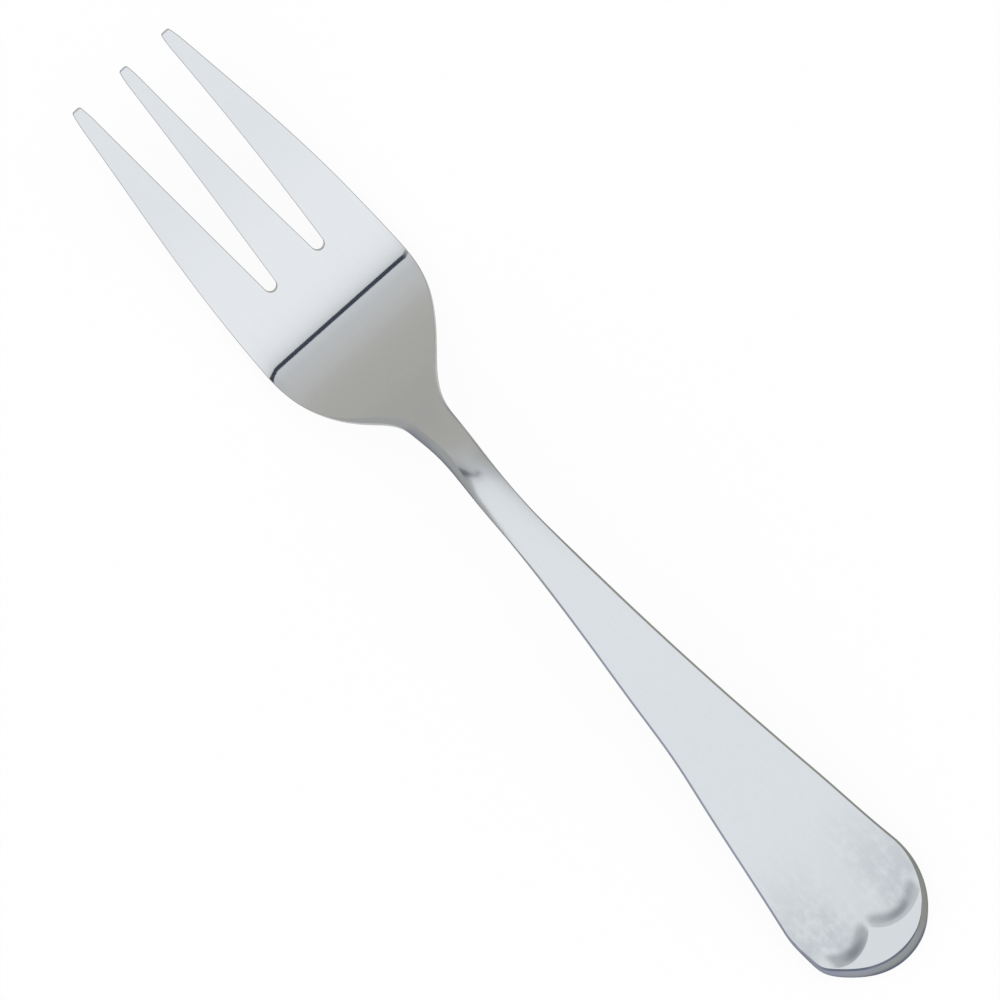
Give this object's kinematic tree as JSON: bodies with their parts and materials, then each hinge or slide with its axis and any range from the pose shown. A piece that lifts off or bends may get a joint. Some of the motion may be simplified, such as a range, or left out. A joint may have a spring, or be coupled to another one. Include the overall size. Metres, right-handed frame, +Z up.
{
  "type": "salad fork",
  "caption": "Polished stainless steel salad fork with tapered blunt tines, flat curved head, slim neck and a broad rounded handle ending in a stepped scallop.",
  "frame": {"origin": "on the table, below the middle of the fork's length and width, with the fork lying on its heel and its handle end", "axes": "+X along the fork towards the tine tips, +Y to the fork's left, +Z up"},
  "size_m": [0.156, 0.025, 0.0113],
  "materials": {
    "polished_steel": "mirror polished stainless steel with faint polishing lines"
  },
  "bodies": {
    "root": {"handle_end": "polished_steel", "handle": "polished_steel", "stem": "polished_steel", "neck": "polished_steel", "shoulder": "polished_steel", "tine_root": "polished_steel", "left_tine": "polished_steel", "centre_tine": "polished_steel", "right_tine": "polished_steel"}
  },
  "joints": []
}
